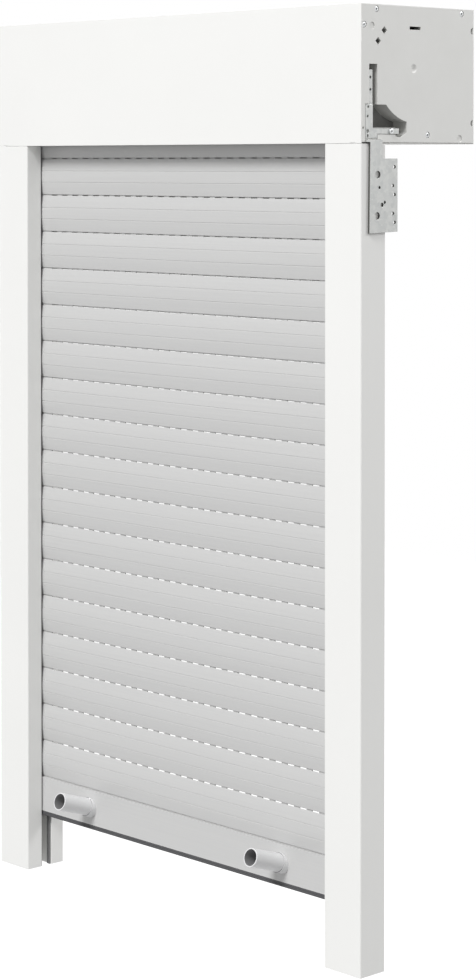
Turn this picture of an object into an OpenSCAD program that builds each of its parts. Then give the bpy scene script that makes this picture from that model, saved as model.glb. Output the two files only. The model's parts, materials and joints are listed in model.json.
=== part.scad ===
// Exterior roller shutter: a box with a motor-driven roller, two guide rails and a slatted curtain.
// Millimetres, +Z up, the front faces -Y and +X is the right-hand side seen from the front.
// The origin is in the middle of the width, on the underside of the box, in the middle of its depth.

/* [Box] */
// Width over the box and over both rails
box_w = 720; // [600:1:1200]
// Height of the box
box_h = 172; // [168:1:220]
// Depth of the box from its front to its back
box_d = 208; // [196:1:260]
// Thickness of the sheet panels
panel_t = 1.5; // [1:0.1:2.5]
// Depth of the front panel's fold over the top of the box
top_fold = 22; // [12:1:40]
// Width of the front panel's fold under the box
bottom_fold = 17; // [10:1:17]
// Distance of that fold's ends from the sides of the box
fold_setback = 10; // [4:1:20]
// Gap between the curtain's back and the edge of the bottom cover
cover_gap = 7.5; // [6.5:0.5:14]
// Height of the stiffening fold along the cover's front edge
cover_fold = 10; // [4:1:20]
// Distance behind the rails where the cover steps down to the seat on the window frame
seat_clear = 2; // [0.5:0.5:6]
// Width of the notches in the front panel's lower edge
edge_notch_w = 8; // [4:0.5:14]
// Height of the notches in the front panel's lower edge
edge_notch_h = 1.2; // [0.5:0.1:1.4]

/* [End plates] */
// Thickness of an end plate
plate_t = 14; // [13.5:0.5:20]
// Depth of the corner pocket and the tall slot, which reach into a cup behind the plate
pocket_t = 23; // [18:0.5:24]
// Wall of that cup
cup_wall = 2; // [1.5:0.5:3]
// Depth of the notches in an end plate's back edge
notch_t = 12; // [8:0.5:12.5]
// Wall left round the square holes and the cable slot, which are relieved from inside
hole_wall = 4; // [2.5:0.5:8]
// Width of that relief round a hole
hole_relief = 3; // [2:0.5:3.5]
// Diameter of the small hole near the front edge
front_hole = 3; // [2:0.5:4]
// Roller axis, behind the front of the box
axle_d = 95; // [90:1:104]
// Roller axis, above the underside of the box
axle_h = 94; // [90:1:105]
// Radius of the curved edge of the corner pocket, round the roller axis
pocket_r = 68; // [66:1:72]
// Lowest edge of the tall slot above the corner pocket
slot_low = 48; // [46:0.5:54]
// Length of the tall slot
slot_h = 50; // [40:0.5:55]
// Width of the tall slot
slot_w = 14.5; // [12:0.5:18]
// Side of the square holes, which stand on their corners
square_hole = 7; // [4:0.5:9]
// Length of the flat cable slot
cable_slot_w = 20; // [10:1:30]
// Height of the flat cable slot
cable_slot_h = 4; // [2:0.5:8]
// Diameter of the dimple that marks the roller axis
dimple_dia = 11; // [6:0.5:16]
// Depth of the axis dimple
dimple_t = 2.5; // [0.5:0.1:3]
// Diameter of the round mould marks
mark_dia = 9; // [5:0.5:12]
// Depth of the mould marks
mark_t = 1; // [0.2:0.1:1.5]
// Diameter of the notches in the back edge
notch_dia = 9; // [5:0.5:14]
// Outer diameter of the bearing boss inside
boss_dia = 44; // [36:1:56]
// Length of the bearing boss
boss_len = 12; // [10:0.5:13]

/* [Rails] */
// Width of a rail's front face
rail_w = 63; // [54:0.5:90]
// Depth of a rail on its inner side, from front to back
rail_d = 64; // [60:0.5:90]
// Depth of a rail's outer side
rail_side_d = 43; // [40:0.5:60]
// Width of the deeper inner part of a rail
rail_back_w = 40; // [36:0.5:50]
// Wall of a rail
rail_wall = 2; // [1.4:0.1:2.5]
// Radius of a rail's front corners
rail_corner = 2; // [0.8:0.1:4]
// Depth of the front chamber, before the guide groove
groove_front = 25; // [20:0.5:30]
// Width of the guide groove
groove_w = 18; // [17.5:0.1:20]
// Depth of the guide groove, sideways
groove_in = 32; // [28:0.5:34]
// Joint between a rail's top and the box
rail_joint = 0.3; // [0.3:0.1:0.9]
// Width of a sealing strip in the groove
seal_w = 6; // [4:0.5:9]
// Distance of a sealing strip from the groove's mouth
seal_in = 2; // [1:0.5:6]
// Running gap between a sealing strip and the curtain
seal_gap = 0.4; // [0.3:0.1:0.8]
// Height of an inlet guide above the rail
guide_h = 24; // [14:1:34]
// Wall of an inlet guide
guide_wall = 4; // [2.5:0.5:5]
// Length of the inlet guide's tongue in the rail
guide_tongue = 14; // [6:1:30]

/* [Curtain] */
// Number of slats
slat_count = 19; // [15:1:19]
// Height from one slat to the next
slat_pitch = 52; // [48:0.5:54]
// Thickness of a slat
slat_t = 13; // [12:0.5:14]
// Open joint between two slats, where light comes through
slat_gap = 1.7; // [1.5:0.1:5]
// Bulge of a slat's front face
slat_bulge = 2.5; // [1:0.1:3]
// Wall of a slat
slat_wall = 1.2; // [0.8:0.1:2]
// Length of a slat inside the groove
slat_in_groove = 22; // [12:0.5:26]
// Thickness of the slotted web at a slat's top
web_t = 1.4; // [0.8:0.1:2]
// Play of the web in the slat above, on each side
web_play = 0.5; // [0.3:0.1:0.8]
// Thickness of the bead along the web's top
bead_t = 1.5; // [1:0.1:2.5]
// Width of the bead
bead_w = 3.4; // [3:0.1:3.6]
// Thickness of the lip that holds the bead
lip_t = 1.6; // [1:0.1:2.5]
// Free travel of a bead above its lip
bead_travel = 4.2; // [3.9:0.1:5]
// Drop of a slat's back wall below its front edge
back_drop = 3.3; // [1:0.1:5]
// Length of a light slot
light_len = 12.5; // [8:0.5:16]
// Distance from one light slot to the next
light_pitch = 22.8; // [18:0.1:40]
// Radius of the fine grooves along a slat's face
rib_r = 0.5; // [0.3:0.1:0.8]
// Height of the top slat's bead above the roller axis
top_slat_rise = 0.7; // [0:0.1:4]

/* [Bottom bar] */
// Height of the bottom bar
bar_h = 48.5; // [44:0.5:60]
// Wall of the bottom bar
bar_wall = 1.8; // [1.2:0.1:2.5]
// Height of the rubber seal that shows under the bar
bar_seal_h = 6.8; // [3:0.5:10]
// Clear height under the seal as shown, down to the rails' feet
bar_lift = 73.2; // [40:1:75]
// Outer diameter of a stop buffer
buffer_dia = 24; // [18:0.5:30]
// Bore of a stop buffer
buffer_bore = 21; // [14:0.5:21.5]
// Length of a stop buffer
buffer_len = 58; // [40:1:80]
// Thickness of a stop buffer's floor and of its foot ring
buffer_floor = 4; // [3:0.5:8]
// Step of the foot ring beyond the buffer
buffer_ring = 1; // [0.5:0.1:2]
// Height of the buffers above the bar's bottom edge
buffer_h = 24; // [20:0.5:30]
// Upward tilt of the buffers
buffer_tilt = 18; // [0:1:20]
// Distance of each buffer from the middle of the bar
buffer_x = 192; // [120:1:240]

/* [Roller] */
// Width of the eight-sided roller tube across its flats
tube_flats = 60; // [60:1:62]
// Wall of the roller tube
tube_wall = 1.2; // [0.8:0.1:2]
// Distance of the roller tube's ends from the end plates
tube_end = 22; // [20:0.5:30]
// Diameter of the motor
motor_dia = 45; // [40:0.5:48]
// Length of the motor
motor_len = 386; // [300:1:420]
// Thickness of the motor's head flange
head_t = 7; // [5:0.5:7.5]
// Diameter of the motor's head flange
head_dia = 56; // [50:1:60]
// Outer diameter of the bearing and of the motor head's spigot
bearing_dia = 28; // [22:1:32]
// Width of the bearing
bearing_w = 8; // [6:0.5:9.5]
// Diameter of the idler pin
pin_dia = 12; // [8:0.5:16]
// Length of the idler pin inside its cap
pin_in = 40; // [20:1:60]
// Diameter of the motor's output shaft
shaft_dia = 14; // [10:0.5:18]
// Length of the plugs in the roller tube
plug_len = 20; // [12:1:30]
// Depth of the output shaft in the motor
shaft_in = 25; // [12:1:40]
// Width of a hanger strap
strap_w = 30; // [20:1:50]
// Thickness of a hanger strap
strap_t = 0.8; // [0.6:0.1:1.2]
// Distance of the outer straps from the middle
strap_x = 210; // [120:1:230]
// Angle, above the back of the roller, where a strap starts
strap_from = 45; // [45:1:60]
// Clear height from a strap's end to the top slat
strap_clear = 0.4; // [0.3:0.1:0.8]

/* [Brackets and screws] */
// Thickness of the bracket plate on a rail
bracket_t = 3; // [2:0.5:5]
// Height of the bracket plate, below the box
bracket_h = 111; // [108:1:160]
// Height of the narrow neck, below the box
bracket_neck = 18.5; // [10:0.5:22]
// Front edge of the bracket plate, behind the rail's front
bracket_front = 12; // [8:0.5:13]
// Back edge of the bracket's neck, behind the rail's front
neck_back = 35.5; // [32:0.5:42]
// Reach of the bracket's top flange into the end plate
flange_in = 8; // [5:0.5:11]
// Diameter of the plate's two large holes
large_hole = 9; // [6:0.5:11]
// Diameter of the plate's frame screw holes
frame_hole = 4.5; // [3:0.1:6]
// Height between neighbouring frame screw holes of one row
frame_pitch = 34.5; // [30:0.5:36]
// Thickness of the perforated arm
arm_t = 2.5; // [1.5:0.5:4]
// Depth of the arm's inner upright below the end plate's face
arm_step = 1.5; // [0.5:0.5:4]
// Gap round the arm in the end plate
arm_gap = 0.7; // [0.3:0.1:1]
// Width of the perforated arm's upright
arm_w = 13; // [9:0.5:14]
// Diameter of a screw's head
screw_head = 7; // [6:0.5:9]
// Height of a screw's head
screw_head_t = 2.4; // [1.5:0.1:3.5]
// Gap round a sunk screw's head
screw_sink_gap = 0.5; // [0.3:0.1:1.5]
// Depth of a sunk screw's head below the surface
screw_sink = 0.4; // [0.2:0.1:1.5]
// Diameter of a screw's shank
screw_shank = 3.8; // [2.5:0.1:4.5]
// Width of the cross recess in a screw's head
screw_cross = 1.4; // [0.6:0.1:1.8]

/* [Hidden] */
$fn = 64;
// Small overlap of cutting tools past the faces that they cut
cut = 1;
// Radial clearance of a pin or shaft in its bore
fit_gap = 0.05;
// Radial clearance of loose fits and of screws in their holes
loose_gap = 0.3;

front_y = -box_d / 2;
back_y = box_d / 2;
rail_back_y = front_y + rail_d;
side_x = box_w / 2;
plate_x = side_x - plate_t;
rail_x = side_x - rail_w;
rail_top = -rail_joint;
axle_y = front_y + axle_d;

curtain_y = front_y + groove_front + groove_w / 2;
slat_half = rail_x + slat_in_groove;
seal_t = (groove_w - slat_t) / 2 - seal_gap;
cover_y = curtain_y + slat_t / 2 + cover_gap;

slat_body = slat_pitch - slat_gap;
shoulder_drop = 4;
shoulder_front = slat_t / 2 - slat_bulge - 0.8;
web_y = -2.8;
back_lip_t = 1.6;
hook_rise = slat_gap + lip_t + bead_travel + bead_t;
channel_top = lip_t + bead_travel + bead_t + slat_gap + loose_gap;
face_r = (slat_body * slat_body / 4 + slat_bulge * slat_bulge) / (2 * slat_bulge);
light_z = slat_body - 1.6;
light_h = slat_pitch - 0.4 - light_z;
light_count = floor((2 * rail_x - light_pitch) / light_pitch);
// The curtain hangs from the roller and the rails reach down as far as it can close
curtain_top = axle_h + top_slat_rise;
slats_z = curtain_top - slat_count * slat_pitch - hook_rise + slat_gap;
bar_z = slats_z - slat_gap - bar_h;
foot_z = bar_z - bar_seal_h - bar_lift;
rail_len = rail_top - foot_z;

bar_channel_w = 8;
bar_channel_h = 6;
bar_mouth_w = 4;
bar_mouth_h = 2;

tube_half = plate_x - tube_end;
tube_r = tube_flats / 2 / cos(22.5);
plug_r = (tube_flats / 2 - tube_wall - fit_gap) / cos(22.5);
boss_x = plate_x - boss_len;
motor_start = -boss_x + head_t;
motor_end = motor_start + motor_len;
adapter_start = motor_end + 6;
strap_end_r = axle_y - curtain_y - web_y - web_t / 2;
strap_to = 180 - asin((curtain_top + strap_clear - axle_h) / strap_end_r);
strap_steps = 24;

// Screw places on an end plate, as distance behind the front and height
end_screws = [
    [28, box_h - 6],
    [6, box_h - 26],
    [box_d - 23, box_h - 6],
    [axle_d + 26, 11]
];
// Square holes, mould marks and back-edge notches on an end plate
square_holes = [[41.5, box_h - 32], [30.5, box_h - 45.5]];
mould_marks = [[19.5, box_h - 27], [box_d - 27, 6.8]];
front_hole_place = [4, 19];
cable_slot_place = [axle_d + 2.5, box_h - 27.5];
back_notches = [[box_d - panel_t, box_h - 27.5], [box_d - panel_t, 26.5]];
// Edges of the end plate's pockets and of the bracket arm that lies in them
slot_front = 14.5;
pocket_back = 82;
pocket_tail = 62;
cup_low = 2 * panel_t + cover_fold + 1.5;
arm_front = 8;
arm_low = 6.5;
arm_foot_back = 29;
leg_back = 68;
leg_low = 11.8;
leg_high = 18.8;
leg_screw = [53, 15.3];
arm_holes = [[13, 45, 3.4], [12, 33.5, 3.4], [12, 15, 4.6], [12, 9.3, 3.6]];
arm_hole_dia = 3.4;
inner_arm_w = 7;
inner_arm_holes = [66.5, 81.5];
// Holes of the bracket plate, behind the rail's front and below the box
bracket_back = rail_d - 1.5;
flange_front = 8;
large_holes = [[27, -38.5], [26, -89.5]];
small_holes = [[30, -54.5, 3.6], [34.5, -76, 5.2], [39.5, -72.8, 3.8]];
frame_front_row = rail_d - 10;
frame_back_row = rail_d - 7;
frame_front_z = [-52.3, -52.3 - frame_pitch];
frame_back_z = [-29, -29 - frame_pitch, -29 - 2 * frame_pitch];

// Name of one slat's node
function slat_name(i) = str("slat_", i < 10 ? "0" : "", i);
// Depth of a slat's front face at a height above its lower edge
function face_y(z) = face_r - slat_t / 2 - sqrt(face_r * face_r - pow(z - slat_body / 2, 2));
// Point on a hanger strap at a share of its length, at an offset from its inner face
function strap_point(share, offset) =
    let (
        turn = strap_from + (strap_to - strap_from) * share,
        reach = tube_r + fit_gap + (strap_end_r - tube_r - fit_gap) * share * share + offset
    )
    [reach * cos(turn), reach * sin(turn)];

// Colours as the photograph shows them
white_paint = [0.95, 0.95, 0.94];
slat_grey = [0.80, 0.80, 0.81];
cast_grey = [0.78, 0.78, 0.77];
zinc = [0.74, 0.75, 0.74];
dark_rubber = [0.22, 0.22, 0.23];
steel = [0.66, 0.67, 0.68];
black_plastic = [0.16, 0.16, 0.17];

// Extrudes a section drawn in depth and height along the width, from x0 to x1
module along_x(x0, x1) {
    translate([x0, 0, 0]) rotate([90, 0, 90]) linear_extrude(height = x1 - x0) children();
}

// Cuts or draws an outline on the right-hand side: depth behind the front and height, from x0 to x1
module on_side(x0, x1) {
    translate([0, front_y, 0]) along_x(x0, x1) children();
}

// Turns a shape made about Z so that it lies along X on the roller axis, starting at x0
module on_axle(x0) {
    translate([x0, axle_y, axle_h]) rotate([0, 90, 0]) children();
}

// Mirrors a right-hand piece to the left for side = -1
module to_side(side) {
    if (side > 0) children();
    else mirror([1, 0, 0]) children();
}

// Pan-head screw with a cross recess: the head's underside is at z = 0 and the shank points down
module pan_screw(shank_len) {
    difference() {
        union() {
            cylinder(d = screw_head, h = screw_head_t);
            translate([0, 0, -shank_len]) cylinder(d = screw_shank, h = shank_len);
        }
        for (turn = [0, 90])
            translate([0, 0, screw_head_t]) rotate([0, 0, turn])
                cube([screw_head * 0.6, screw_cross, screw_head_t], center = true);
    }
}

module front_panel() {
    color(white_paint) difference() {
        union() {
            along_x(-side_x, side_x) {
                translate([front_y, 0]) square([panel_t, box_h]);
                translate([front_y, box_h - panel_t]) square([panel_t + top_fold, panel_t]);
            }
            along_x(fold_setback - side_x, side_x - fold_setback)
                translate([front_y, 0]) square([panel_t + bottom_fold, panel_t]);
        }
        for (x = [-plate_x, plate_x])
            translate([x - edge_notch_w / 2, front_y - cut, -cut])
                cube([edge_notch_w, panel_t / 2 + cut, edge_notch_h + cut]);
    }
}

module top_panel() {
    color(white_paint) along_x(-side_x, side_x)
        translate([front_y + panel_t + top_fold, box_h - panel_t])
            square([box_d - panel_t - top_fold, panel_t]);
}

module back_panel() {
    color(white_paint) along_x(-side_x, side_x)
        translate([back_y - panel_t, 0]) square([panel_t, box_h - panel_t]);
}

// Cover under the box: its front part is stepped up, so that only the part behind the rails is a seat
module bottom_cover() {
    seat_y = rail_back_y + seat_clear;
    color(white_paint) along_x(-plate_x, plate_x) {
        translate([seat_y, 0]) square([back_y - panel_t - seat_y, panel_t]);
        translate([seat_y, 0]) square([panel_t, 2 * panel_t]);
        translate([cover_y, panel_t]) square([seat_y + panel_t - cover_y, panel_t]);
        translate([cover_y, panel_t]) square([panel_t, panel_t + cover_fold]);
    }
}

// Corner opening and tall slot of an end plate, above the bed of the bracket's leg
module pocket_outline() {
    difference() {
        polygon([
            [slot_front, slot_low], [pocket_back, slot_low], [pocket_back, leg_low + 2],
            [leg_back + 2, leg_low - 4], [pocket_tail, leg_low - 3], [pocket_tail, leg_high + 1],
            [slot_front, leg_high + 1]
        ]);
        translate([axle_d, axle_h]) circle(r = pocket_r);
    }
    translate([slot_front, slot_low - cut]) square([slot_w, slot_h + cut]);
}

// Outline of the perforated arm's outer part
module arm_outline(grow = 0) {
    translate([arm_front - grow, arm_low - grow])
        square([arm_foot_back - arm_front + 2 * grow, leg_high - arm_low + 2 * grow]);
    translate([arm_front - grow, arm_low - grow])
        square([arm_w + 2 * grow, slot_low - arm_low + 2 * grow]);
    translate([arm_foot_back - cut, leg_low - grow])
        square([leg_back - arm_foot_back + cut + grow, leg_high - leg_low + 2 * grow]);
}

// Block behind an end plate that closes the deep part of the corner pocket and of the tall slot
module cup_outline(wall) {
    translate([slot_front - wall, cup_low]) square([pocket_back - slot_front + 2 * wall, slot_low + wall - cup_low]);
    translate([slot_front - wall, slot_low]) square([slot_w + 2 * wall, slot_h + wall]);
}

module end_plate(side) {
    color(cast_grey) to_side(side) difference() {
        union() {
            on_side(side_x - pocket_t - cup_wall, plate_x + cut) cup_outline(cup_wall);
            on_side(plate_x, side_x)
                translate([panel_t, panel_t]) square([box_d - 2 * panel_t, box_h - 2 * panel_t]);
            on_axle(boss_x) cylinder(d = boss_dia, h = boss_len + cut);
        }
        on_axle(boss_x - cut) cylinder(r = bearing_dia / 2 + fit_gap, h = boss_len + cut);
        on_side(plate_x + cup_wall, side_x + cut) pocket_outline();
        on_side(side_x - pocket_t, side_x + cut) intersection() {
            pocket_outline();
            translate([0, cup_low + cup_wall]) square([box_d, box_h]);
        }
        on_side(side_x - arm_t, side_x + cut) arm_outline(arm_gap);
        on_side(side_x - flange_in - loose_gap, side_x + cut)
            translate([flange_front - loose_gap, 0])
                square([neck_back - flange_front + 2 * loose_gap, panel_t + bracket_t + loose_gap]);
        for (hole = square_holes) {
            on_side(plate_x - cut, side_x + cut)
                translate(hole) rotate(45) square(square_hole, center = true);
            on_side(plate_x - cut, side_x - hole_wall)
                translate(hole) circle(d = square_hole + 2 * hole_relief);
        }
        on_side(plate_x - cut, side_x + cut)
            translate(cable_slot_place) square([cable_slot_w, cable_slot_h], center = true);
        on_side(plate_x - cut, side_x - hole_wall)
            translate(cable_slot_place)
                square([cable_slot_w + 2 * hole_relief, cable_slot_h + 2 * hole_relief], center = true);
        on_side(side_x - hole_wall, side_x + cut) translate(front_hole_place) circle(d = front_hole);
        for (mark = mould_marks)
            on_side(side_x - mark_t, side_x + cut) translate(mark) circle(d = mark_dia);
        for (notch = back_notches)
            on_side(side_x - notch_t, side_x + cut) translate(notch) circle(d = notch_dia);
        for (screw = end_screws) {
            on_side(side_x - screw_head_t - screw_sink, side_x + cut)
                translate(screw) circle(r = screw_head / 2 + screw_sink_gap);
            on_side(plate_x - cut, side_x) translate(screw) circle(r = screw_shank / 2 + fit_gap);
        }
        on_side(plate_x - cut, side_x) translate(leg_screw) circle(r = screw_shank / 2 + fit_gap);
        dimple_r = (dimple_dia * dimple_dia / 4 + dimple_t * dimple_t) / (2 * dimple_t);
        translate([side_x - dimple_t + dimple_r, axle_y, axle_h]) sphere(r = dimple_r);
    }
}

// Pan-head screws driven into both end plates from outside
module end_plate_screws() {
    color(steel) for (side = [1, -1]) to_side(side)
        for (screw = end_screws)
            translate([side_x - screw_head_t - screw_sink, front_y + screw[0], screw[1]])
                rotate([0, 90, 0]) pan_screw(plate_t - screw_head_t - screw_sink);
}

// Perforated arm: its foot lies in the end plate and its inner upright stands in the tall slot
module bracket_arm(side) {
    inner_x = side_x - arm_step;
    color(zinc) to_side(side) difference() {
        union() {
            on_side(side_x - arm_t, side_x) arm_outline();
            on_side(inner_x - arm_t, side_x)
                translate([slot_front + loose_gap, slot_low - 5]) square([arm_front + arm_w - slot_front - loose_gap, 5]);
            on_side(inner_x - arm_t, inner_x)
                translate([slot_front + loose_gap, slot_low - 5]) square([inner_arm_w, slot_h - 2]);
        }
        for (hole = arm_holes)
            on_side(side_x - arm_t - cut, side_x + cut) translate([hole[0], hole[1]]) circle(d = hole[2]);
        for (z = inner_arm_holes)
            on_side(inner_x - arm_t - cut, inner_x + cut)
                translate([slot_front + loose_gap + inner_arm_w / 2, z]) circle(d = arm_hole_dia);
        on_side(side_x - arm_t - cut, side_x + cut)
            translate(leg_screw) circle(r = screw_shank / 2 + fit_gap);
    }
}

// Plate on a rail's outer side, with a flange that reaches into the end plate
module bracket_plate(side) {
    top = panel_t + bracket_t;
    color(zinc) to_side(side) difference() {
        union() {
            on_side(side_x, side_x + bracket_t) polygon([
                [bracket_front, -bracket_h], [bracket_back, -bracket_h + 1.5], [bracket_back, -bracket_neck],
                [neck_back, -bracket_neck], [neck_back, top], [bracket_front + 1.5, top]
            ]);
            on_side(side_x - flange_in, side_x + bracket_t)
                translate([flange_front, panel_t]) square([neck_back - flange_front, bracket_t]);
        }
        for (hole = large_holes)
            on_side(side_x - cut, side_x + bracket_t + cut) translate(hole) circle(d = large_hole);
        for (hole = small_holes)
            on_side(side_x - cut, side_x + bracket_t + cut)
                translate([hole[0], hole[1]]) circle(d = hole[2]);
        for (z = frame_front_z)
            on_side(side_x - cut, side_x + bracket_t + cut)
                translate([frame_front_row, z]) circle(d = frame_hole);
        for (z = frame_back_z)
            on_side(side_x - cut, side_x + bracket_t + cut)
                translate([frame_back_row, z]) circle(d = frame_hole);
    }
}

// Screws that hold the arms to the end plates
module bracket_screws() {
    color(steel) for (side = [1, -1]) to_side(side)
        translate([side_x, front_y + leg_screw[0], leg_screw[1]])
            rotate([0, 90, 0]) pan_screw(plate_t);
}

// Rail outline with two rounded front corners, seen from above, for the right-hand rail
module rail_front_outline() {
    translate([rail_x, front_y + rail_corner]) square([rail_w, rail_side_d - rail_corner]);
    translate([rail_x + rail_corner, front_y]) square([rail_w - 2 * rail_corner, rail_corner * 2]);
    for (x = [rail_x + rail_corner, side_x - rail_corner])
        translate([x, front_y + rail_corner]) circle(r = rail_corner);
}

module rail(side) {
    groove_y = front_y + groove_front;
    color(white_paint) to_side(side) translate([0, 0, foot_z]) linear_extrude(height = rail_len)
        difference() {
            union() {
                rail_front_outline();
                translate([rail_x, front_y + rail_side_d - rail_wall])
                    square([rail_back_w, rail_d - rail_side_d + rail_wall]);
            }
            // Guide groove, open towards the curtain
            translate([rail_x - cut, groove_y]) square([groove_in + cut, groove_w]);
            // Front, outer and back chambers
            translate([rail_x + rail_wall, front_y + rail_wall])
                square([rail_w - 2 * rail_wall, groove_front - 2 * rail_wall]);
            translate([rail_x + groove_in + rail_wall, groove_y])
                square([rail_w - groove_in - 2 * rail_wall, rail_side_d - groove_front - rail_wall]);
            translate([rail_x + rail_wall, groove_y + groove_w + rail_wall])
                square([rail_back_w - 2 * rail_wall, rail_d - groove_front - groove_w - 2 * rail_wall]);
        }
}

// Two sealing strips in a rail's groove, one on each side of the curtain
module rail_seal(side) {
    groove_y = front_y + groove_front;
    color(dark_rubber) to_side(side) translate([0, 0, foot_z]) linear_extrude(height = rail_len) {
        translate([rail_x + seal_in, groove_y]) square([seal_w, seal_t]);
        translate([rail_x + seal_in, groove_y + groove_w - seal_t]) square([seal_w, seal_t]);
    }
}

// One flared wall of an inlet guide, in depth and height
module guide_wall_outline() {
    polygon([
        [-guide_wall, 0], [0, 0], [0, guide_h * 0.55], [-guide_wall * 0.7, guide_h], [-guide_wall, guide_h]
    ]);
}

// Funnel on top of a rail that leads the curtain from the roller into the groove
module inlet_guide(side) {
    groove_y = front_y + groove_front;
    end_x = rail_x + groove_in;
    color(black_plastic) to_side(side) {
        along_x(rail_x, end_x) translate([groove_y, rail_top]) guide_wall_outline();
        along_x(rail_x, end_x) translate([groove_y + groove_w, rail_top]) mirror([1, 0]) guide_wall_outline();
        along_x(end_x, end_x + guide_wall)
            translate([groove_y - guide_wall, rail_top]) square([groove_w + 2 * guide_wall, guide_h]);
        along_x(end_x - guide_wall, end_x - loose_gap) {
            translate([groove_y + loose_gap, rail_top - guide_tongue])
                square([groove_w - 2 * loose_gap, guide_tongue + guide_h / 2]);
        }
        along_x(end_x - guide_wall, end_x + cut)
            translate([groove_y - cut, rail_top]) square([groove_w + 2 * cut, guide_h / 2]);
    }
}

// Ball bearing of the idler pin, in the right-hand boss
module idler_bearing() {
    groove_r = (bearing_dia + pin_dia) / 4;
    color(steel) on_axle(plate_x - bearing_w - cut) difference() {
        cylinder(d = bearing_dia, h = bearing_w);
        translate([0, 0, -cut]) cylinder(r = pin_dia / 2 + fit_gap, h = bearing_w + 2 * cut);
        rotate_extrude() translate([groove_r - 1, bearing_w - 1]) square([2, 2]);
    }
}

// Motor head: a spigot in the left-hand boss and a flange against its face
module motor_head() {
    color(black_plastic) on_axle(-plate_x) {
        cylinder(d = bearing_dia, h = boss_len + cut);
        translate([0, 0, boss_len]) cylinder(d = head_dia, h = head_t);
    }
}

// Tubular motor, fixed to its head, with a bore for the output shaft
module motor_tube() {
    color(steel) on_axle(motor_start) difference() {
        cylinder(d = motor_dia, h = motor_len);
        translate([0, 0, motor_len - shaft_in]) cylinder(r = shaft_dia / 2 + fit_gap, h = shaft_in + cut);
    }
}

module roller_tube() {
    color(zinc) on_axle(-tube_half) difference() {
        cylinder(r = tube_r, h = 2 * tube_half, $fn = 8);
        translate([0, 0, -cut])
            cylinder(r = tube_r - tube_wall / cos(22.5), h = 2 * (tube_half + cut), $fn = 8);
    }
}

// Ring that turns with the tube on the motor, next to its head
module crown_ring() {
    color(black_plastic) on_axle(-tube_half) difference() {
        cylinder(r = plug_r, h = plug_len, $fn = 8);
        translate([0, 0, -cut]) cylinder(r = motor_dia / 2 + loose_gap, h = plug_len + 2 * cut);
    }
}

// Plug that passes the motor's turning to the tube
module drive_adapter() {
    color(black_plastic) on_axle(adapter_start) difference() {
        cylinder(r = plug_r, h = plug_len, $fn = 8);
        translate([0, 0, -cut]) cylinder(r = shaft_dia / 2 + fit_gap, h = plug_len + 2 * cut);
    }
}

module drive_shaft() {
    start = motor_end - shaft_in + cut;
    color(steel) on_axle(start) cylinder(d = shaft_dia, h = adapter_start + plug_len - start);
}

// Plug in the tube's right-hand end
module idler_cap() {
    color(black_plastic) on_axle(tube_half - pin_in) difference() {
        cylinder(r = plug_r, h = pin_in, $fn = 8);
        translate([0, 0, -cut]) cylinder(r = pin_dia / 2 + fit_gap, h = pin_in + 2 * cut);
    }
}

module idler_pin() {
    color(steel) on_axle(tube_half - pin_in) cylinder(d = pin_dia, h = pin_in + tube_end - cut / 2);
}

// Spring-steel straps that leave the roller in a widening curve and carry the top slat
module hanger_straps() {
    shares = [for (i = [0 : strap_steps]) i / strap_steps];
    inner = [for (share = shares) strap_point(share, 0)];
    outer = [for (share = shares) strap_point(1 - share, strap_t)];
    color(steel) for (x = [-strap_x, 0, strap_x])
        translate([0, axle_y, axle_h]) along_x(x - strap_w / 2, x + strap_w / 2)
            polygon(concat(inner, outer));
}

// Web and bead that stand on a slat or on the bar, above a body of the given height
module hook_outline(body) {
    translate([web_y, body - shoulder_drop - cut]) square([web_t, shoulder_drop + cut + hook_rise]);
    translate([web_y, body + hook_rise - bead_t]) square([bead_w, bead_t]);
}

// Sloping shoulder of a slat or of the bar, below its web
module shoulder_outline(body, low) {
    polygon([
        [-slat_t / 2, low], [slat_t / 2, low], [slat_t / 2, body - shoulder_drop],
        [web_y, body - shoulder_drop], [-shoulder_front, body], [-slat_t / 2, body]
    ]);
}

// Cross-section of a slat: curved hollow front, channel below and slotted web above
module slat_outline() {
    chamber_low = channel_top + slat_wall;
    chamber_high = slat_body - shoulder_drop - slat_wall;
    chamber_h = (chamber_high - chamber_low - slat_wall) / 2;
    difference() {
        union() {
            intersection() {
                translate([face_r - slat_t / 2, slat_body / 2]) circle(r = face_r, $fn = 200);
                shoulder_outline(slat_body, 0);
            }
            hook_outline(slat_body);
            translate([slat_t / 2 - back_lip_t, -back_drop]) square([back_lip_t, back_drop + cut]);
        }
        // Channel that holds the next slat's bead
        translate([web_y - web_play, -cut]) square([web_t + 2 * web_play, lip_t + 2 * cut]);
        translate([web_y - web_play, lip_t]) square([bead_w + 2 * web_play, channel_top - lip_t]);
        // Two hollow chambers behind the face
        for (z = [chamber_low, chamber_high - chamber_h]) intersection() {
            translate([face_r - slat_t / 2, slat_body / 2]) circle(r = face_r - slat_wall, $fn = 200);
            translate([-slat_t / 2, z]) square([slat_t - slat_wall, chamber_h]);
        }
        // Fine grooves along the face
        for (z = [slat_body * 0.34, slat_body * 0.66]) translate([face_y(z), z]) circle(r = rib_r);
    }
}

// Row of light slots through a web, over a body of the given height
module light_slots(body) {
    for (i = [0 : light_count - 1])
        translate([(i - (light_count - 1) / 2) * light_pitch, web_y + web_t / 2, body - slat_body + light_z + light_h / 2])
            cube([light_len, web_t + 2 * loose_gap, light_h], center = true);
}

module slat(i) {
    color(slat_grey) translate([0, curtain_y, slats_z + (i - 1) * slat_pitch]) difference() {
        along_x(-slat_half, slat_half) slat_outline();
        light_slots(slat_body);
    }
}

// T-shaped channel under the bar, or the seal's foot in it
module bar_channel(play) {
    translate([-bar_mouth_w / 2 + play, -cut]) square([bar_mouth_w - 2 * play, bar_mouth_h + cut + play]);
    translate([-bar_channel_w / 2 + play, bar_mouth_h + play])
        square([bar_channel_w - 2 * play, bar_channel_h - bar_mouth_h - 2 * play]);
}

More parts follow.
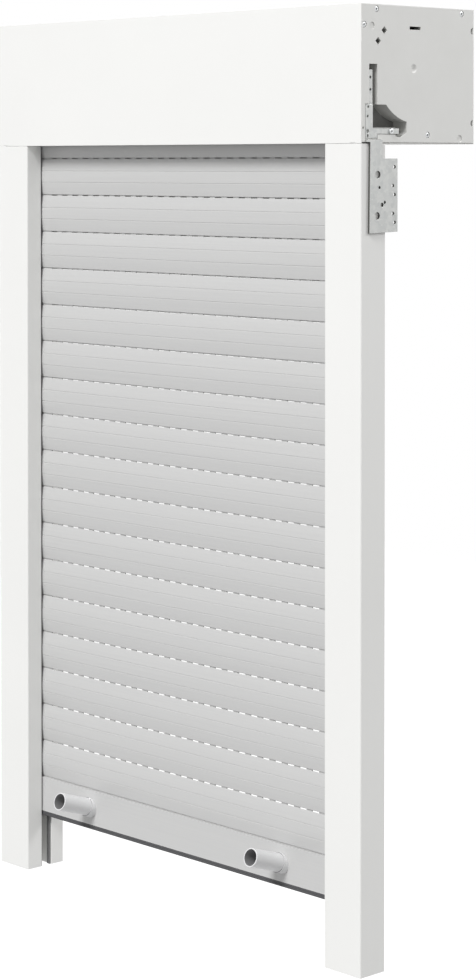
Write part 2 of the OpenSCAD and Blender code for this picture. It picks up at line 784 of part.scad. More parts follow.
module bottom_bar() {
    chamber_low = bar_channel_h + bar_wall;
    chamber_high = bar_h - shoulder_drop - bar_wall;
    color(slat_grey) translate([0, curtain_y, bar_z]) difference() {
        along_x(-slat_half, slat_half) difference() {
            union() {
                shoulder_outline(bar_h, 0);
                hook_outline(bar_h);
            }
            bar_channel(0);
            translate([-slat_t / 2 + bar_wall, chamber_low])
                square([slat_t - 2 * bar_wall, chamber_high - chamber_low]);
        }
        for (x = [-buffer_x, buffer_x])
            translate([x, -slat_t / 2, buffer_h]) rotate([90 - buffer_tilt, 0, 0])
                cylinder(r = screw_shank / 2 + loose_gap, h = slat_t, center = true);
    }
}

// Rubber strip under the bar, held by its foot
module bottom_seal() {
    color(dark_rubber) translate([0, curtain_y, bar_z]) along_x(-slat_half, slat_half) {
        bar_channel(fit_gap);
        translate([-slat_t / 2, -bar_seal_h]) square([slat_t, bar_seal_h]);
    }
}

// Puts a shape made about Z on the bar's front, pointing forwards and up by the buffers' tilt
module on_bar_front(x) {
    translate([x, curtain_y - slat_t / 2, bar_z + buffer_h]) rotate([90 - buffer_tilt, 0, 0]) children();
}

// Tube-shaped stop on the bar's front, cut flush with it, with a floor for its screw and a foot ring
module stop_buffer(side) {
    foot_sink = buffer_dia;
    floor_top = buffer_floor + (buffer_dia / 2 + buffer_ring) * sin(buffer_tilt);
    color(slat_grey) difference() {
        on_bar_front(side * buffer_x) difference() {
            union() {
                translate([0, 0, -foot_sink]) cylinder(d = buffer_dia, h = buffer_len + foot_sink);
                translate([0, 0, -foot_sink]) cylinder(d = buffer_dia + 2 * buffer_ring, h = floor_top + foot_sink);
            }
            translate([0, 0, floor_top]) cylinder(d = buffer_bore, h = buffer_len);
            translate([0, 0, -foot_sink]) cylinder(r = screw_shank / 2 + fit_gap, h = buffer_len);
        }
        translate([side * buffer_x, curtain_y - slat_t / 2 + buffer_len, bar_z + buffer_h])
            cube(2 * buffer_len, center = true);
    }
}

module buffer_screws() {
    floor_top = buffer_floor + (buffer_dia / 2 + buffer_ring) * sin(buffer_tilt);
    color(steel) for (x = [-buffer_x, buffer_x])
        on_bar_front(x) translate([0, 0, floor_top]) pan_screw(floor_top + slat_t / 2);
}

front_panel();
top_panel();
back_panel();
bottom_cover();
end_plate(1);  // end_plate_right
end_plate(-1);  // end_plate_left
end_plate_screws();
bracket_arm(1);  // bracket_arm_right
bracket_arm(-1);  // bracket_arm_left
bracket_plate(1);  // bracket_plate_right
bracket_plate(-1);  // bracket_plate_left
bracket_screws();
rail(1);  // rail_right
rail(-1);  // rail_left
rail_seal(1);  // rail_seal_right
rail_seal(-1);  // rail_seal_left
inlet_guide(1);  // inlet_guide_right
inlet_guide(-1);  // inlet_guide_left
idler_bearing();
motor_head();
motor_tube();
roller_tube();
crown_ring();
drive_adapter();
drive_shaft();
idler_cap();
idler_pin();
hanger_straps();
bottom_bar();
bottom_seal();
stop_buffer(1);  // stop_buffer_right
stop_buffer(-1);  // stop_buffer_left
buffer_screws();
for (i = [1 : slat_count]) {
    slat(i);
}
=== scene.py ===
import json
import math

import bmesh
import bpy
from mathutils import Matrix, Vector


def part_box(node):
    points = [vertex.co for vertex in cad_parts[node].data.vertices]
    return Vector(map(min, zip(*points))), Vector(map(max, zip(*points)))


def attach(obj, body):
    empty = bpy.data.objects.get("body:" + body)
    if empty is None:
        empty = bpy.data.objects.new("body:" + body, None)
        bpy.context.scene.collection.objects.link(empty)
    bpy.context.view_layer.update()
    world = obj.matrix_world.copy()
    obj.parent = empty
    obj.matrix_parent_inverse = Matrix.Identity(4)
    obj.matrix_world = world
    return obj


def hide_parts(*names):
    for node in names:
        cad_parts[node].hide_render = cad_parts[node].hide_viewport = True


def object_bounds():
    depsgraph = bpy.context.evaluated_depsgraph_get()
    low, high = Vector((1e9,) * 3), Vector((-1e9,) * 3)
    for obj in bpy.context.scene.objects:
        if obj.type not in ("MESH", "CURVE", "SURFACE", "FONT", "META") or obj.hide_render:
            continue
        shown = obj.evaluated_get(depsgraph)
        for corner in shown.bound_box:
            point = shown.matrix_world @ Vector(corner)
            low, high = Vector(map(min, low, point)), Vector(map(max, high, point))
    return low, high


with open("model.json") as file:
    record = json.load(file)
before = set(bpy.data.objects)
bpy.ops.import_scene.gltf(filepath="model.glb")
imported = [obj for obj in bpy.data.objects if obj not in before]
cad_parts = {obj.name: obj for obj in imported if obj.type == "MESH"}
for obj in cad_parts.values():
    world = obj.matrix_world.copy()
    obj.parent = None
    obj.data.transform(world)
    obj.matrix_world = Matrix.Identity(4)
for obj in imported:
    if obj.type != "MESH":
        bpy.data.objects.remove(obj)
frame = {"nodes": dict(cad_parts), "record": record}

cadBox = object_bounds()
nodes = frame["nodes"]
print("frame loaded:", len(nodes), "nodes")


# colours are written as sRGB hex and used as linear values
def hexColour(text):
    parts = [int(text[i:i + 2], 16) / 255 for i in (1, 3, 5)]
    linear = [c / 12.92 if c <= 0.04045 else ((c + 0.055) / 1.055) ** 2.4 for c in parts]
    return (*linear, 1.0)


# adds one node with its settings: inputs go by name, or by number as i0, i1 and so on; sockets are linked
def addNode(tree, kind, props=None, **inputs):
    node = tree.nodes.new(kind)
    for key, value in (props or {}).items():
        setattr(node, key, value)
    for key, value in inputs.items():
        byNumber = key[0] == "i" and key[1:].isdigit()
        socket = node.inputs[int(key[1:]) if byNumber else key.replace("_", " ")]
        if isinstance(value, bpy.types.NodeSocket):
            tree.links.new(value, socket)
        else:
            socket.default_value = value
    return node


# starts a material: returns its tree, its main shader and object coordinates in metres
def startMaterial(name, spec):
    mat = bpy.data.materials.new(name)
    mat.use_nodes = True
    tree = mat.node_tree
    shader = tree.nodes["Principled BSDF"]
    shader.inputs["Base Color"].default_value = hexColour(spec["colour"])
    shader.inputs["Roughness"].default_value = spec["roughness"]
    shader.inputs["Metallic"].default_value = spec.get("metallic", 0.0)
    if "ior" in spec:
        shader.inputs["IOR"].default_value = spec["ior"]
    mat.diffuse_color = hexColour(spec["colour"])
    coords = addNode(tree, "ShaderNodeTexCoord").outputs["Object"]
    return mat, tree, shader, coords


# ends a material: two tones, uneven gloss and a fine relief, each led by a pattern
def endMaterial(tree, shader, spec, toneBy, glossBy, reliefBy):
    tone = addNode(tree, "ShaderNodeMix", {"data_type": "RGBA"}, Factor=toneBy,
                   i6=hexColour(spec["colour"]), i7=hexColour(spec["shade"]))
    tree.links.new(tone.outputs[2], shader.inputs["Base Color"])
    gloss = addNode(tree, "ShaderNodeMapRange", Value=glossBy,
                    To_Min=spec["roughness"] - spec["glossSpread"],
                    To_Max=spec["roughness"] + spec["glossSpread"])
    tree.links.new(gloss.outputs["Result"], shader.inputs["Roughness"])
    relief = addNode(tree, "ShaderNodeBump", Strength=spec["relief"], Distance=spec["reliefMm"] / 1000,
                     Height=reliefBy)
    tree.links.new(relief.outputs["Normal"], shader.inputs["Normal"])


def perMetre(millimetres):  # texture scale for a pattern of this size
    return 1000.0 / millimetres


# white powder coat on aluminium: even and satin, with a faint orange peel when light grazes it;
# real peel is near 1 mm, drawn coarser to show
powderCoat = {"colour": "#F6F6F4", "shade": "#F2F2F0", "roughness": 0.42, "ior": 1.5, "peelMm": 2.2,
              "cloudMm": 160.0, "glossSpread": 0.05, "relief": 0.25, "reliefMm": 0.06}


def makePowderCoat():
    spec = powderCoat
    mat, tree, shader, coords = startMaterial("powderCoatedAluminium", spec)
    cloud = addNode(tree, "ShaderNodeTexNoise", Vector=coords, Scale=perMetre(spec["cloudMm"]), Detail=2.0)
    peel = addNode(tree, "ShaderNodeTexNoise", Vector=coords, Scale=perMetre(spec["peelMm"]), Detail=1.0)
    endMaterial(tree, shader, spec, cloud.outputs["Fac"], peel.outputs["Fac"], peel.outputs["Fac"])
    return mat


# stove-enamelled aluminium strip, roll-formed: satin grey with faint streaks along the strip
enamelStrip = {"colour": "#D0D0CF", "shade": "#C8C8C8", "roughness": 0.38, "ior": 1.5, "streakMm": 1.6,
               "streakLengthMm": 260.0, "glossSpread": 0.06, "relief": 0.3, "reliefMm": 0.04}


def makeEnamelStrip():
    spec = enamelStrip
    mat, tree, shader, coords = startMaterial("enamelledAluminiumStrip", spec)
    fine, long = perMetre(spec["streakMm"]), perMetre(spec["streakLengthMm"])
    stretch = addNode(tree, "ShaderNodeMapping", Vector=coords, Scale=(long, fine, fine))
    streak = addNode(tree, "ShaderNodeTexNoise", Vector=stretch.outputs["Vector"], Scale=1.0, Detail=3.0)
    endMaterial(tree, shader, spec, streak.outputs["Fac"], streak.outputs["Fac"], streak.outputs["Fac"])
    return mat


# die-cast aluminium with a thin pale coat: matt, finely grained, with slow cloudy patches
dieCast = {"colour": "#EDEDEB", "shade": "#E5E5E2", "roughness": 0.55, "ior": 1.5, "grainMm": 1.4,
           "cloudMm": 55.0, "glossSpread": 0.08, "relief": 0.3, "reliefMm": 0.08}


def makeDieCast():
    spec = dieCast
    mat, tree, shader, coords = startMaterial("coatedDieCastAluminium", spec)
    cloud = addNode(tree, "ShaderNodeTexNoise", Vector=coords, Scale=perMetre(spec["cloudMm"]), Detail=4.0,
                    Roughness=0.6)
    grain = addNode(tree, "ShaderNodeTexNoise", Vector=coords, Scale=perMetre(spec["grainMm"]), Detail=2.0)
    endMaterial(tree, shader, spec, cloud.outputs["Fac"], grain.outputs["Fac"], grain.outputs["Fac"])
    return mat


# hot-dip galvanised sheet: grey zinc in crystal patches, each with its own brightness and gloss
galvanised = {"colour": "#C9CAC8", "shade": "#BBBDBC", "roughness": 0.44, "metallic": 0.6, "spangleMm": 5.0,
              "warp": 0.004, "grainMm": 0.9, "glossSpread": 0.1, "relief": 0.3, "reliefMm": 0.05}


def makeGalvanised():
    spec = galvanised
    mat, tree, shader, coords = startMaterial("galvanisedSteelSheet", spec)
    patch = perMetre(spec["spangleMm"])
    warp = addNode(tree, "ShaderNodeTexNoise", Vector=coords, Scale=patch, Detail=2.0)
    place = addNode(tree, "ShaderNodeMix", {"data_type": "VECTOR"}, Factor=spec["warp"],
                    i4=coords, i5=warp.outputs["Color"])
    spangle = addNode(tree, "ShaderNodeTexVoronoi", Vector=place.outputs[1], Scale=patch)
    crystal = addNode(tree, "ShaderNodeSeparateColor", Color=spangle.outputs["Color"])
    grain = addNode(tree, "ShaderNodeTexNoise", Vector=coords, Scale=perMetre(spec["grainMm"]), Detail=2.0)
    endMaterial(tree, shader, spec, crystal.outputs["Red"], crystal.outputs["Green"], grain.outputs["Fac"])
    return mat


# faces inside the slats' joints, painted paler and a little brighter than the face: painted light that
# lifts the shade in the joints
jointLightPaint = {"colour": "#F1F1F1", "shade": "#E8E8E9", "roughness": 0.45, "metallic": 0.25,
             "markMm": 1.6, "reliefMm": 0.03}


# zinc-plated steel screws: bright grey metal with fine turning marks
zincPlate = {"colour": "#D6D7D8", "shade": "#C2C4C5", "roughness": 0.46, "metallic": 1.0,
             "markMm": 0.8, "reliefMm": 0.03}


# die-cast aluminium at the pocket floors, painted dark grey and dull: painted shade deep in the pocket
pocketFloorShade = {"colour": "#8A8A88", "shade": "#7D7D7B", "roughness": 0.66, "metallic": 0.2,
                "markMm": 1.4, "reliefMm": 0.08}


# walls of pockets, holes and marks, painted greyer than the outer face and matt: painted shade in the
# recesses
recessWallShade = {"colour": "#CBCBC8", "shade": "#C0C0BD", "roughness": 0.6, "ior": 1.5,
            "markMm": 1.4, "reliefMm": 0.08}


# sheared edge of the galvanised sheet, where the cut left bare steel: dark and dull; laid only where shade
# falls, so partly painted shade
cutEdgeShade = {"colour": "#6B6B69", "shade": "#585856", "roughness": 0.6, "metallic": 0.7,
               "markMm": 0.8, "reliefMm": 0.04}


# nearly black, dull steel in a screw's socket and round its rim: painted shade of the deep socket and of
# the gap round the head
screwShadeSteel = {"colour": "#2E2E2F", "shade": "#383839", "roughness": 0.62, "metallic": 0.3,
             "markMm": 0.8, "reliefMm": 0.03}


# drawn and ground steel: bright grey, finely marked
drawnSteel = {"colour": "#B4B6B8", "shade": "#989A9C", "roughness": 0.35, "metallic": 1.0,
              "markMm": 1.2, "reliefMm": 0.03}


# moulded polyamide in black: matt with a fine spark-eroded grain
blackPolyamide = {"colour": "#232325", "shade": "#2C2C2E", "roughness": 0.55, "ior": 1.53,
                  "markMm": 0.9, "reliefMm": 0.05}


# moulded PVC in light grey: softly glossy, slightly cloudy
greyVinyl = {"colour": "#ECECED", "shade": "#E4E4E5", "roughness": 0.36, "ior": 1.53,
             "markMm": 2.4, "reliefMm": 0.04}


# the same PVC inside the bores, painted darker and duller: painted shade of the bores
boreShadeVinyl = {"colour": "#9A9A9B", "shade": "#8C8C8D", "roughness": 0.7, "ior": 1.53,
              "markMm": 2.4, "reliefMm": 0.04}


# extruded EPDM rubber: dark and dull, with a little dust
sealRubber = {"colour": "#4A4A4C", "shade": "#58585A", "roughness": 0.78, "ior": 1.52,
              "markMm": 1.1, "reliefMm": 0.08}


# soft PVC lip in mid grey, extruded: dull and slightly mottled
softVinyl = {"colour": "#838384", "shade": "#78787A", "roughness": 0.62, "ior": 1.53,
             "markMm": 1.3, "reliefMm": 0.06}


# plain grained finishes share one build, led by one fine pattern
grained = {"glossSpread": 0.06, "relief": 0.3}


def makeGrained(name, spec):
    mat, tree, shader, coords = startMaterial(name, spec)
    mark = addNode(tree, "ShaderNodeTexNoise", Vector=coords, Scale=perMetre(spec["markMm"]), Detail=3.0)
    endMaterial(tree, shader, {**grained, **spec}, mark.outputs["Fac"], mark.outputs["Fac"],
                mark.outputs["Fac"])
    return mat


finishes = {
    "white_paint": makePowderCoat(),
    "slat_grey": makeEnamelStrip(),
    "cast_grey": makeDieCast(),
    "zinc_sheet": makeGalvanised(),
    "screw_steel": makeGrained("zincPlatedSteel", zincPlate),
    "bright_steel": makeGrained("drawnSteel", drawnSteel),
    "seal_rubber": makeGrained("extrudedRubber", sealRubber),
    "seal_grey": makeGrained("extrudedSoftVinyl", softVinyl),
    "black_plastic": makeGrained("mouldedPolyamide", blackPolyamide),
    "buffer_plastic": makeGrained("mouldedVinyl", greyVinyl),
}
print("materials made:", len(finishes))


def setMaterial(obj, mat):
    obj.data.materials.clear()
    obj.data.materials.append(mat)


record = frame["record"]
slotOf = {row["node"]: row["material_slot"] for row in record["subparts"]}
bodyOf = {node: body for body, held in record["behaviour"]["bodies"].items() for node in held}
for name, obj in nodes.items():
    setMaterial(obj, finishes[slotOf[name]])
print("finishes on all nodes")


# puts a finished mesh in the scene in place of one node: same body, same finish
def standFor(name, mesh):
    obj = bpy.data.objects.new(name + "_finished", mesh)
    bpy.context.scene.collection.objects.link(obj)
    setMaterial(obj, finishes[slotOf[name]])
    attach(obj, bodyOf[name])
    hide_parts(name)
    return obj


# a piece's sizes from mm to metres; whole numbers are counts or degrees and stay
def inMetres(form):
    return {key: value / 1000 if isinstance(value, float) else value for key, value in form.items()}


# worked edges: folds, castings, cut sheet and mouldings have small radii that catch the light, in mm
edgeRadii = {
    "front_panel": 0.3, "top_panel": 0.2, "back_panel": 0.3, "bottom_cover": 0.3,
    "end_plate_right": 0.2, "end_plate_left": 0.2,
    "bracket_arm_right": 0.3, "bracket_arm_left": 0.3,
    "bracket_plate_right": 0.3, "bracket_plate_left": 0.3,
    "rail_right": 0.3, "rail_left": 0.3, "inlet_guide_right": 0.6, "inlet_guide_left": 0.6,
    "bottom_bar": 0.3, "stop_buffer_right": 0.35, "stop_buffer_left": 0.35,
    "roller_tube": 0.6, "crown_ring": 0.5, "drive_adapter": 0.5, "idler_cap": 0.5, "motor_head": 1.0,
}


# faces nearer to flat than the first angle are joined; from the other two on, edges stay sharp or get
# a radius in this many steps, in degrees
edgeWork = {"flat": 0.5, "sharp": 30, "rounded": 35, "steps": 2}
weld = 1e-6  # metres within which corners count as one
nearBy = 1e-4  # metres within which corners count as level


# an end plate's shallow bearing seat has a rim that has to stay crisp, in degrees
sharpFrom = {"end_plate_right": 15, "end_plate_left": 15}


# a node's mesh with its flat triangles joined into whole faces
def wholeFaces(name):
    bm = bmesh.new()
    bm.from_mesh(nodes[name].data)
    bmesh.ops.remove_doubles(bm, verts=bm.verts, dist=weld)
    flat = math.radians(edgeWork["flat"])
    bmesh.ops.dissolve_limit(bm, angle_limit=flat, verts=bm.verts, edges=bm.edges)
    return bm


# writes a worked mesh, smooth up to an angle in degrees
def smoothMesh(bm, mesh, sharpAngle):
    bm.to_mesh(mesh)
    bm.free()
    mesh.shade_smooth()
    mesh.set_sharp_from_angle(angle=math.radians(sharpAngle))
    return mesh


# gives edges a radius, and keeps the faces beside them flat to the eye
def roundEdges(obj, title, radius, steps, method):
    bevel = obj.modifiers.new(title, "BEVEL")
    bevel.width = radius
    bevel.segments = steps
    bevel.limit_method = method
    bevel.angle_limit = math.radians(edgeWork["rounded"])
    bevel.use_clamp_overlap = False
    normals = obj.modifiers.new("flatFaces", "WEIGHTED_NORMAL")
    normals.keep_sharp = True


def softenEdges(name, radius):
    sharpAngle = sharpFrom.get(name, edgeWork["sharp"])
    obj = standFor(name, smoothMesh(wholeFaces(name), nodes[name].data.copy(), sharpAngle))
    roundEdges(obj, "workedEdges", radius / 1000, edgeWork["steps"], "ANGLE")
    return obj


worked = {name: softenEdges(name, radius) for name, radius in edgeRadii.items()}
print("worked edges:", len(worked))


# share of a face's normal from which it faces a direction, and below which it stands across it
facing, across = 0.9, 0.5

# bare steel on the bracket plates, below the end plate, partly painted shade: the sheared outline where it
# faces forward or down, and the holes over the rail, which lie in shadow; holes behind the rail keep their
# zinc, so there only faces above this area count, in mm and square mm
shadedEdgeParts = {"below": 2.0, "area": 20.0}
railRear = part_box("rail_right")[1][1]
edgeShadeSteel = makeGrained("shearedSteelPaintedShade", cutEdgeShade)
for name in ("bracket_plate_right", "bracket_plate_left"):
    mesh = worked[name].data
    mesh.materials.append(edgeShadeSteel)
    for face in mesh.polygons:
        below = face.center.z < -shadedEdgeParts["below"] / 1000
        counts = face.area > shadedEdgeParts["area"] * 1e-6 or face.center.y < railRear
        forwardOrDown = min(face.normal.y, face.normal.z) < -across
        # edges facing forward or down take the bare steel: painted shade
        if below and counts and forwardOrDown and abs(face.normal.x) < across:
            face.material_index = 1
print("sheared edges on the bracket plates")


# the end plates' pockets and marks, painted as shade: floors and walls from these depths below the outer
# face on, and this far from the rim, in mm
pocketDepths = {"floor": 10.0, "wall": 0.4, "rim": 3.0}
paintedFloorShade = makeGrained("pocketFloorPaintedShade", pocketFloorShade)
paintedWallShade = makeGrained("recessWallPaintedShade", recessWallShade)
for name in ("end_plate_right", "end_plate_left"):
    mesh = worked[name].data
    mesh.materials.append(paintedFloorShade)
    mesh.materials.append(paintedWallShade)
    low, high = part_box(name)
    outer = max(abs(low[0]), abs(high[0]))
    side = 1 if low[0] > 0 else -1
    for face in mesh.polygons:
        depth = (outer - face.center.x * side) * 1000
        clear = min(min(face.center[i] - low[i], high[i] - face.center[i]) for i in (1, 2)) * 1000
        # floors take the dark grey and walls the greyer colour: painted shade
        if face.normal.x * side > facing and depth > pocketDepths["floor"]:
            face.material_index = 1
        elif abs(face.normal.x) < across and depth > pocketDepths["wall"] and clear > pocketDepths["rim"]:
            face.material_index = 2
print("pocket finishes on the end plates")


# the stop buffers point forwards and up by this many degrees; their bores are painted darker as shade,
# within these sizes in mm
bufferBore = {"tilt": 18, "reach": 11.0, "floorDepth": 5.0}
wallLean = 0.7  # share of the normal that points to the bore's axis
paintedBoreShade = makeGrained("mouldedVinylBoreShade", boreShadeVinyl)
bore = inMetres(bufferBore)
tilt = math.radians(bore["tilt"])
axis = Vector((0, -math.cos(tilt), math.sin(tilt)))
for name in ("stop_buffer_right", "stop_buffer_left"):
    mesh = worked[name].data
    mesh.materials.append(paintedBoreShade)
    far = max(vert.co.dot(axis) for vert in mesh.vertices)
    rim = [vert.co for vert in mesh.vertices if vert.co.dot(axis) > far - nearBy]
    mouth = sum(rim, Vector()) / len(rim)
    for face in mesh.polygons:
        reach = face.center - mouth
        depth = -reach.dot(axis)
        reach += axis * depth
        isWall = reach.length > 0 and face.normal.dot(reach.normalized()) < -wallLean
        isFloor = face.normal.dot(axis) > facing and depth > bore["floorDepth"]
        if reach.length < bore["reach"] and (isWall or isFloor):
            face.material_index = 1
# the darker bores are painted shade
print("dusty bores in the stop buffers")


# slats: the strip is rolled round at the face's upper and lower edge, the faces inside the joints are
# painted paler as painted light, and the lip behind each joint is trimmed, so that light comes through the
# slots, in mm
slatForm = {"radius": 0.5, "steps": 3, "longEdge": 500.0, "faceDepth": 4.6, "jointDepth": 3.2,
            "backSkin": 1.0, "lipTrim": 1.5}
turnedAway = -0.3  # the next surface has turned from the front where its normal's y is above this
paleJointPaint = makeGrained("paintedLightJointStrip", jointLightPaint)


def rollSlat(name):
    low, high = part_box(name)
    form = inMetres(slatForm)
    bm = wholeFaces(name)
    for vert in bm.verts:  # the lip's end is the lowest part of a slat
        if vert.co.z < low[2] + nearBy:
            vert.co.z += form["lipTrim"]
    rolled = bm.edges.layers.float.new("bevel_weight_edge")
    for edge in bm.edges:
        depth = max(vert.co.y for vert in edge.verts) - low[1]
        if edge.calc_length() < form["longEdge"] or depth > form["faceDepth"] or len(edge.link_faces) != 2:
            continue
        turn = sorted(face.normal.y for face in edge.link_faces)
        if turn[0] < -facing and turn[1] > turnedAway:
            edge[rolled] = 1.0
    # faces inside the joint take the paler paint: painted light against their shade
    for face in bm.faces:
        depth = face.calc_center_median().y - low[1]
        inside = depth < high[1] - low[1] - form["backSkin"]
        if inside and depth > form["jointDepth"] and abs(face.normal.x) < across:
            face.material_index = 1
    mesh = smoothMesh(bm, nodes[name].data.copy(), edgeWork["sharp"])
    obj = standFor(name, mesh)
    mesh.materials.append(paleJointPaint)
    roundEdges(obj, "rolledEdges", form["radius"], form["steps"], "WEIGHT")


slatNames = [name for name in nodes if name.startswith("slat_")]
for name in slatNames:
    rollSlat(name)
print("slats rolled:", len(slatNames))


# pan-head screws, turned and pressed: low domed head, six-lobed socket and a plain shank, in mm
screwForm = {"steps": 36, "lobes": 6, "sharp": 40, "headHeight": 2.4, "shankRadius": 1.9, "socket": 1.55,
             "lobe": 0.18, "socketDepth": 2.6, "dome": 0.35, "rim": 0.15}
socketTaper, tipTaper = 0.9, 0.3  # shares of the socket's and the shank's radius at their ends
crownRings = ((0.6, 0.2), (0.77, 0.45))  # shares of the head's radius and of the dome's fall
# the socket and the head's rim and side take the nearly black steel: painted shade
shadedBands = (0, 1, 4, 5, 6, 7)  # bands between rings: the socket, and the head's rim and side
paintedScrewShade = makeGrained("screwShadeSteel", screwShadeSteel)


def islandBoxes(mesh):  # lowest and highest corner of each loose part
    bm = bmesh.new()
    bm.from_mesh(mesh)
    bmesh.ops.remove_doubles(bm, verts=bm.verts, dist=weld)
    left, boxes = set(bm.verts), []
    while left:
        grown, waiting = set(), [left.pop()]
        while waiting:
            vert = waiting.pop()
            grown.add(vert)
            for edge in vert.link_edges:
                other = edge.other_vert(vert)
                if other in left:
                    left.discard(other)
                    waiting.append(other)
        boxes.append([Vector([pick(v.co[i] for v in grown) for i in range(3)]) for pick in (min, max)])
    bm.free()
    return boxes


def addScrew(bm, form, place, headRadius, shankLength):
    steps, rim, dome, lobe = form["steps"], form["rim"], form["dome"], form["lobe"]
    socket, shank, top = form["socket"], form["shankRadius"], form["headHeight"]
    rings = [  # radius, added lobe, height above the head's underside
        (socket * socketTaper, lobe, top - form["socketDepth"]),
        (socket, lobe, top - rim),
        (socket + rim, lobe, top),
        *[(headRadius * part, 0, top - dome * fall) for part, fall in crownRings],
        (headRadius - rim, 0, top - dome),
        (headRadius, 0, top - dome - rim * 2),
        (headRadius, 0, rim),
        (headRadius - rim, 0, 0),
        (shank, 0, 0),
        (shank, 0, shank - shankLength),
        (shank * tipTaper, 0, -shankLength),
    ]
    loops = []
    for radius, wave, height in rings:
        loop = []
        for i in range(steps):
            angle = 2 * math.pi * i / steps
            reach = radius + wave * math.cos(form["lobes"] * angle)
            point = Vector((reach * math.cos(angle), reach * math.sin(angle), height))
            loop.append(bm.verts.new(place @ point))
        loops.append(loop)
    for band, (inner, outer) in enumerate(zip(loops, loops[1:])):
        for i in range(steps):
            j = (i + 1) % steps
            face = bm.faces.new((inner[i], outer[i], outer[j], inner[j]))
            face.material_index = 1 if band in shadedBands else 0
    bm.faces.new(loops[0]).material_index = 1
    bm.faces.new(loops[-1][::-1])


def makeScrews(name):
    form = inMetres(screwForm)
    bm = bmesh.new()
    for low, high in islandBoxes(nodes[name].data):
        side = 1 if low.x > 0 else -1
        top, tip = (high.x, low.x) if side > 0 else (-low.x, -high.x)
        seat = top - form["headHeight"]
        middle = (low + high) / 2
        turn = Vector((side, 0, 0)).to_track_quat("Z", "Y").to_matrix().to_4x4()
        place = Matrix.Translation((side * seat, middle.y, middle.z)) @ turn
        addScrew(bm, form, place, (high.y - low.y) / 2, seat - tip)
    bmesh.ops.recalc_face_normals(bm, faces=bm.faces)
    mesh = smoothMesh(bm, bpy.data.meshes.new(name), form["sharp"])
    standFor(name, mesh)
    mesh.materials.append(paintedScrewShade)


for name in ("end_plate_screws", "bracket_screws"):
    makeScrews(name)
print("screws turned")


# rubber strip under the bar: its foot fills the bar's channel, its lower edges are round and a groove
# runs along it, in mm
sealForm = {"lowerRadius": 2.2, "groove": 0.6, "grooveUp": 3.2, "mouthHalf": 1.95, "mouthHigh": 2.05,
            "footHalf": 3.95, "footHigh": 5.95, "arcSteps": 6, "sharp": 32}


# one closed outline in depth and height, run along the width between two ends
def runAlongWidth(outline, fromX, toX, sharpAngle):
    bm = bmesh.new()
    ends = [[bm.verts.new((x, y, z)) for y, z in outline] for x in (fromX, toX)]
    for i in range(len(outline)):
        j = (i + 1) % len(outline)
        bm.faces.new((ends[0][i], ends[0][j], ends[1][j], ends[1][i]))
    bm.faces.new(ends[0][::-1])
    bm.faces.new(ends[1])
    bmesh.ops.recalc_face_normals(bm, faces=bm.faces)
    return smoothMesh(bm, bpy.data.meshes.new("run"), sharpAngle)


def makeBottomSeal(name):
    form = sealForm
    low, high = [Vector(corner) * 1000 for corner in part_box(name)]
    middle, half = (low.y + high.y) / 2, (high.y - low.y) / 2
    barBottom = high.z - form["footHigh"]
    drop, radius = low.z - barBottom, form["lowerRadius"]
    groove, grooveUp = form["groove"], form["grooveUp"]
    side = [(form["footHalf"], form["footHigh"]), (form["footHalf"], form["mouthHigh"]),
            (form["mouthHalf"], form["mouthHigh"]), (form["mouthHalf"], 0), (half, 0),
            (half, -grooveUp + groove), (half - groove, -grooveUp), (half, -grooveUp - groove)]
    for i in range(form["arcSteps"] + 1):
        angle = math.pi / 2 * i / form["arcSteps"]
        side.append((half - radius + radius * math.cos(angle), drop + radius - radius * math.sin(angle)))
    outline = side + [(-y, z) for y, z in reversed(side)]
    outline = [((middle + y) / 1000, (barBottom + z) / 1000) for y, z in outline]
    standFor(name, runAlongWidth(outline, low.x / 1000, high.x / 1000, form["sharp"]))


makeBottomSeal("bottom_seal")
print("bottom seal run")


# 1 where the camera, gloss or glass looks, 0 where light only bounces
def whereSeen(tree):
    path = addNode(tree, "ShaderNodeLightPath")
    seen = addNode(tree, "ShaderNodeMath", {"operation": "MAXIMUM"}, i0=path.outputs["Is Camera Ray"],
                   i1=path.outputs["Is Glossy Ray"])
    shown = addNode(tree, "ShaderNodeMath", {"operation": "MAXIMUM"}, i0=seen.outputs[0],
                    i1=path.outputs["Is Transmission Ray"])
    return shown.outputs[0]


# the stage: a pale floor well below the rails, as the shutter hangs on a wall; sizes in metres
stageSet = {"floorDrop": 1.6, "floorSize": 20.0, "glow": 0.9, "floorTone": "#8C8C8C", "bounce": 0.4}
floorHeight = cadBox[0][2] - stageSet["floorDrop"]
bpy.ops.mesh.primitive_plane_add(size=stageSet["floorSize"], location=(0, 0, floorHeight))
floor = bpy.context.object
floor.name = "studioFloor"

floorMat = bpy.data.materials.new("paleFloor")
floorMat.use_nodes = True
tree = floorMat.node_tree
tree.nodes.clear()
shown = whereSeen(tree)
bounce = addNode(tree, "ShaderNodeBsdfDiffuse", Color=(*[stageSet["bounce"]] * 3, 1))
catch = addNode(tree, "ShaderNodeBsdfDiffuse", Color=hexColour(stageSet["floorTone"]))
glow = addNode(tree, "ShaderNodeEmission", Color=(1, 1, 1, 1), Strength=stageSet["glow"])
both = addNode(tree, "ShaderNodeAddShader", i0=catch.outputs[0], i1=glow.outputs[0])
mixed = addNode(tree, "ShaderNodeMixShader", i0=shown, i1=bounce.outputs[0], i2=both.outputs[0])
addNode(tree, "ShaderNodeOutputMaterial", Surface=mixed.outputs[0])
setMaterial(floor, floorMat)

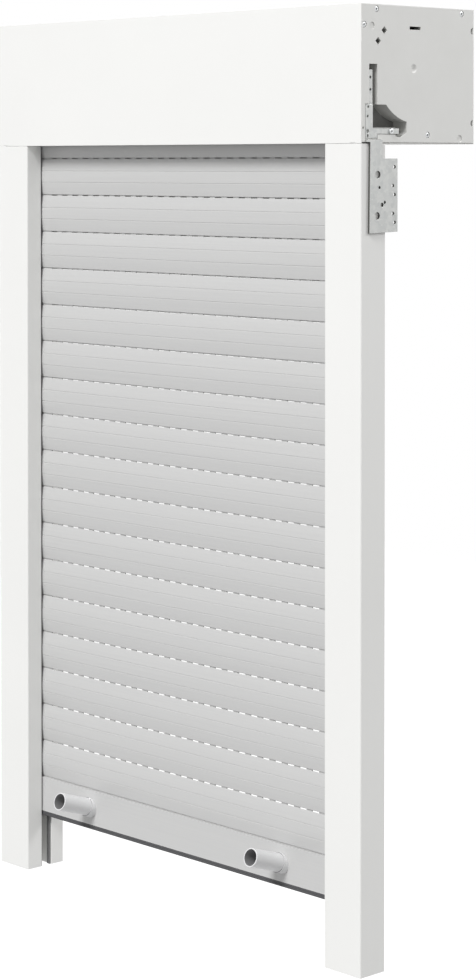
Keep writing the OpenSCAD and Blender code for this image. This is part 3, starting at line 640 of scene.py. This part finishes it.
# the world lights the object evenly and shows white where the camera, gloss or glass looks at it
surround = {"light": 0.42, "white": 1.0}
world = bpy.data.worlds.new("studioSurround")
bpy.context.scene.world = world
world.use_nodes = True
tree = world.node_tree
tree.nodes.clear()
shown = whereSeen(tree)
fill = addNode(tree, "ShaderNodeBackground", Color=(1, 1, 1, 1), Strength=surround["light"])
white = addNode(tree, "ShaderNodeBackground", Color=(1, 1, 1, 1), Strength=surround["white"])
mixed = addNode(tree, "ShaderNodeMixShader", i0=shown, i1=fill.outputs[0], i2=white.outputs[0])
addNode(tree, "ShaderNodeOutputWorld", Surface=mixed.outputs[0])


# softboxes: a large one ahead and above, weaker ones from above, from the rear right and from the rear left
softboxes = {
    "keySoftbox": {"at": (2.66, -13.0, 12.8), "aim": (0.0, 0.0, -0.5), "size": 5.5, "watts": 2720.0},
    "topSoftbox": {"at": (0.6, -1.2, 2.6), "aim": (0.0, 0.0, -0.2), "size": 2.0, "watts": 4.0},
    "sideSoftbox": {"at": (3.0, 3.4, 2.4), "aim": (0.0, 0.0, -0.3), "size": 1.6, "watts": 88.0},
    "rearSoftbox": {"at": (-5.0, 5.6, 3.8), "aim": (0.0, 0.0, -0.4), "size": 3.0, "watts": 230.0},
}
for name, box in softboxes.items():
    lamp = bpy.data.lights.new(name, "AREA")
    lamp.energy = box["watts"]
    lamp.size = box["size"]
    obj = bpy.data.objects.new(name, lamp)
    obj.location = box["at"]
    sight = Vector(box["aim"]) - Vector(box["at"])
    obj.rotation_euler = sight.to_track_quat("-Z", "Y").to_euler()
    bpy.context.scene.collection.objects.link(obj)
print("stage and lights set")


# camera: level with the box, from the front right; the shift keeps the rails upright in the frame
shot = {"at": (2.4924, -2.3158, -0.0258), "turn": 46.785, "pitch": 1.0, "lens": 91.89, "sensor": 36.0,
        "shiftX": 0.0008, "shiftY": -0.2878}
cam = bpy.data.cameras.new("photoCamera")
cam.sensor_fit = "VERTICAL"
cam.sensor_height = shot["sensor"]
cam.lens = shot["lens"]
cam.shift_x = shot["shiftX"]
cam.shift_y = shot["shiftY"]
camObj = bpy.data.objects.new("photoCamera", cam)
camObj.location = shot["at"]
camObj.rotation_euler = (math.radians(90 - shot["pitch"]), 0, math.radians(shot["turn"]))
bpy.context.scene.collection.objects.link(camObj)
bpy.context.scene.camera = camObj
bpy.context.scene.view_settings.view_transform = "Standard"
print("camera set")
